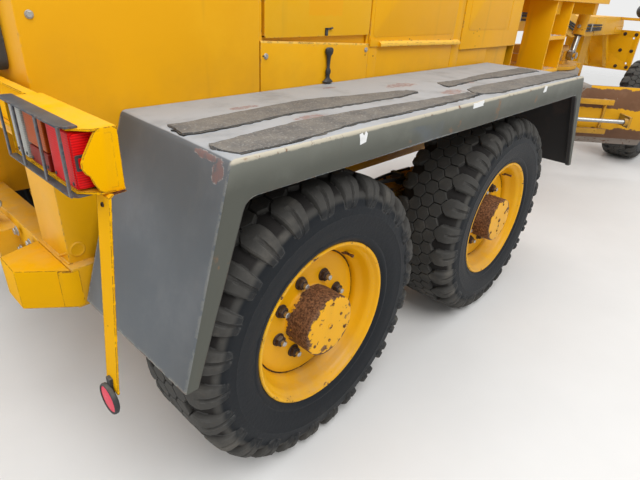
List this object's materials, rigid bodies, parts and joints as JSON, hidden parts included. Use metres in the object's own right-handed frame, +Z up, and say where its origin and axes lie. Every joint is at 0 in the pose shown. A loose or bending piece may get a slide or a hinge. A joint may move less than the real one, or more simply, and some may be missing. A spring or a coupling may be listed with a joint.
{
  "type": "motor grader",
  "caption": "Compact articulated motor grader with tandem rear wheels under grey fenders, a hooded engine, a cab, and a blade on a turning circle under the front beam.",
  "frame": {"origin": "on the floor, under the middle of the bounding box", "axes": "+X forward along the machine, +Y to its left, +Z up"},
  "size_m": [6.77, 2.16, 3.05],
  "materials": {
    "yellow_paint": "semi gloss, faded",
    "grey_paint": "satin, scuffed",
    "dark_paint": "satin",
    "engine_iron": "rough",
    "rim_paint": "semi gloss, chipped",
    "tyre_rubber": "dusty",
    "red_lens": "gloss",
    "reflector": "gloss",
    "worn_steel": "worn",
    "rod_chrome": "polished",
    "window_glass": "clear",
    "seat_vinyl": "matt",
    "dark_plastic": "matt"
  },
  "bodies": {
    "rear_body": {"rear_frame": "yellow_paint", "rear_axle": "yellow_paint", "engine": "engine_iron", "hood": "yellow_paint", "hood_top": "yellow_paint", "rear_grille": "dark_paint", "lamp_bar": "yellow_paint", "lamp_guards": "dark_paint", "tail_lamps": "red_lens", "reflectors": "reflector", "exhaust": "dark_paint", "fender_brackets": "yellow_paint", "fender_left": "grey_paint", "fender_right": "grey_paint"},
    "hood_door_left_body": {"hood_door_left": "yellow_paint"},
    "hood_door_right_body": {"hood_door_right": "yellow_paint"},
    "tandem_left_body": {"tandem_left": "yellow_paint"},
    "tandem_right_body": {"tandem_right": "yellow_paint"},
    "front_body": {"gooseneck": "yellow_paint", "cab_shell": "yellow_paint", "cab_glass": "window_glass", "seat": "seat_vinyl", "controls": "dark_plastic", "cab_steps": "dark_paint", "lights_and_mirrors": "dark_plastic"},
    "cab_door_left_body": {"cab_door_left": "yellow_paint", "door_glass_left": "window_glass"},
    "cab_door_right_body": {"cab_door_right": "yellow_paint", "door_glass_right": "window_glass"},
    "lift_barrel_left_body": {"lift_barrel_left": "yellow_paint"},
    "lift_barrel_right_body": {"lift_barrel_right": "yellow_paint"},
    "lift_rod_left_body": {"lift_rod_left": "rod_chrome"},
    "lift_rod_right_body": {"lift_rod_right": "rod_chrome"},
    "drawbar_body": {"drawbar": "yellow_paint"},
    "circle_body": {"blade_circle": "worn_steel", "shift_barrel": "yellow_paint"},
    "blade_body": {"moldboard": "yellow_paint", "cutting_edge": "worn_steel"},
    "axle_body": {"front_axle": "yellow_paint"},
    "knuckle_left_body": {"knuckle_left": "yellow_paint"},
    "knuckle_right_body": {"knuckle_right": "yellow_paint"},
    "steering_rod_body": {"steering_rod": "rod_chrome"},
    "wheel_rear_left": {"rim_rear_left": "rim_paint", "tyre_rear_left": "tyre_rubber"},
    "wheel_rear_right": {"rim_rear_right": "rim_paint", "tyre_rear_right": "tyre_rubber"},
    "wheel_mid_left": {"rim_mid_left": "rim_paint", "tyre_mid_left": "tyre_rubber"},
    "wheel_mid_right": {"rim_mid_right": "rim_paint", "tyre_mid_right": "tyre_rubber"},
    "wheel_front_left": {"rim_front_left": "rim_paint", "tyre_front_left": "tyre_rubber"},
    "wheel_front_right": {"rim_front_right": "rim_paint", "tyre_front_right": "tyre_rubber"}
  },
  "joints": [
    {"name": "hood_door_left_hinge", "type": "hinge", "parent": "rear_body", "child": "hood_door_left_body", "pos_m": [-2.095, 0.567, 1.806], "axis": [1, 0, 0], "range_deg": [0, 75]},
    {"name": "tandem_left_rock", "type": "hinge", "parent": "rear_body", "child": "tandem_left_body", "pos_m": [-2.095, 0.6, 0.485], "axis": [0, 1, 0], "range_deg": [-12, 12]},
    {"name": "wheel_rear_left_spin", "type": "hinge", "parent": "tandem_left_body", "child": "wheel_rear_left", "pos_m": [-2.705, 0.885, 0.485], "axis": [0, 1, 0], "continuous": true},
    {"name": "wheel_mid_left_spin", "type": "hinge", "parent": "tandem_left_body", "child": "wheel_mid_left", "pos_m": [-1.485, 0.885, 0.485], "axis": [0, 1, 0], "continuous": true},
    {"name": "hood_door_right_hinge", "type": "hinge", "parent": "rear_body", "child": "hood_door_right_body", "pos_m": [-2.095, -0.567, 1.806], "axis": [-1, 0, 0], "range_deg": [0, 75]},
    {"name": "tandem_right_rock", "type": "hinge", "parent": "rear_body", "child": "tandem_right_body", "pos_m": [-2.095, -0.6, 0.485], "axis": [0, 1, 0], "range_deg": [-12, 12]},
    {"name": "wheel_rear_right_spin", "type": "hinge", "parent": "tandem_right_body", "child": "wheel_rear_right", "pos_m": [-2.705, -0.885, 0.485], "axis": [0, 1, 0], "continuous": true},
    {"name": "wheel_mid_right_spin", "type": "hinge", "parent": "tandem_right_body", "child": "wheel_mid_right", "pos_m": [-1.485, -0.885, 0.485], "axis": [0, 1, 0], "continuous": true},
    {"name": "articulation", "type": "hinge", "parent": "rear_body", "child": "front_body", "pos_m": [-0.375, 0, 0.8], "axis": [0, 0, -1], "range_deg": [-20, 20]},
    {"name": "cab_door_left_hinge", "type": "hinge", "parent": "front_body", "child": "cab_door_left_body", "pos_m": [-0.25, 0.634, 2], "axis": [0, 0, 1], "range_deg": [0, 95]},
    {"name": "cab_door_right_hinge", "type": "hinge", "parent": "front_body", "child": "cab_door_right_body", "pos_m": [-0.25, -0.634, 2], "axis": [0, 0, -1], "range_deg": [0, 95]},
    {"name": "axle_rock", "type": "hinge", "parent": "front_body", "child": "axle_body", "pos_m": [2.405, 0, 0.6], "axis": [1, 0, 0], "range_deg": [-12, 12]},
    {"name": "steer_left", "type": "hinge", "parent": "axle_body", "child": "knuckle_left_body", "pos_m": [2.405, 0.48, 0.485], "axis": [0, 0, 1], "range_deg": [-32, 32]},
    {"name": "wheel_front_left_spin", "type": "hinge", "parent": "knuckle_left_body", "child": "wheel_front_left", "pos_m": [2.405, 0.765, 0.485], "axis": [0, 1, 0], "continuous": true},
    {"name": "steer_right", "type": "hinge", "parent": "axle_body", "child": "knuckle_right_body", "pos_m": [2.405, -0.48, 0.485], "axis": [0, 0, 1], "range_deg": [-32, 32]},
    {"name": "wheel_front_right_spin", "type": "hinge", "parent": "knuckle_right_body", "child": "wheel_front_right", "pos_m": [2.405, -0.765, 0.485], "axis": [0, 1, 0], "continuous": true},
    {"name": "steering_rod_slide", "type": "slide", "parent": "axle_body", "child": "steering_rod_body", "axis": [0, 1, 0], "range_m": [-0.086, 0.086]},
    {"name": "blade_lift", "type": "hinge", "parent": "front_body", "child": "drawbar_body", "pos_m": [2.055, 0, 0.78], "axis": [0, 1, 0], "range_deg": [-8, 4]},
    {"name": "lift_barrel_left_swing", "type": "hinge", "parent": "front_body", "child": "lift_barrel_left_body", "pos_m": [1.03748, 0.43, 1.6041], "axis": [0, 1, 0], "range_deg": [-0.63, 0.365]},
    {"name": "lift_rod_left_slide", "type": "slide", "parent": "lift_barrel_left_body", "child": "lift_rod_left_body", "axis": [0.2366, 0, 0.9716], "range_m": [-0.1671, 0.0846]},
    {"name": "lift_barrel_right_swing", "type": "hinge", "parent": "front_body", "child": "lift_barrel_right_body", "pos_m": [1.03748, -0.43, 1.6041], "axis": [0, 1, 0], "range_deg": [-0.63, 0.365]},
    {"name": "lift_rod_right_slide", "type": "slide", "parent": "lift_barrel_right_body", "child": "lift_rod_right_body", "axis": [0.2366, 0, 0.9716], "range_m": [-0.1671, 0.0846]},
    {"name": "circle_turn", "type": "hinge", "parent": "drawbar_body", "child": "circle_body", "pos_m": [0.855, 0, 0.9], "axis": [0, 0, 1], "range_deg": [-95, 15]},
    {"name": "blade_shift", "type": "slide", "parent": "circle_body", "child": "blade_body", "axis": [0.6428, -0.766, 0], "range_m": [-0.2, 0.2]}
  ],
  "couplings": [
    {"joint": "steer_right", "follows": "steer_left", "ratio": 1},
    {"joint": "steering_rod_slide", "follows": "steer_left", "m_per_rad": -0.152},
    {"joint": "lift_barrel_left_swing", "follows": "blade_lift", "ratio": 0.065},
    {"joint": "lift_rod_left_slide", "follows": "blade_lift", "m_per_rad": 1.1825},
    {"joint": "lift_barrel_right_swing", "follows": "blade_lift", "ratio": 0.065},
    {"joint": "lift_rod_right_slide", "follows": "blade_lift", "m_per_rad": 1.1825}
  ]
}
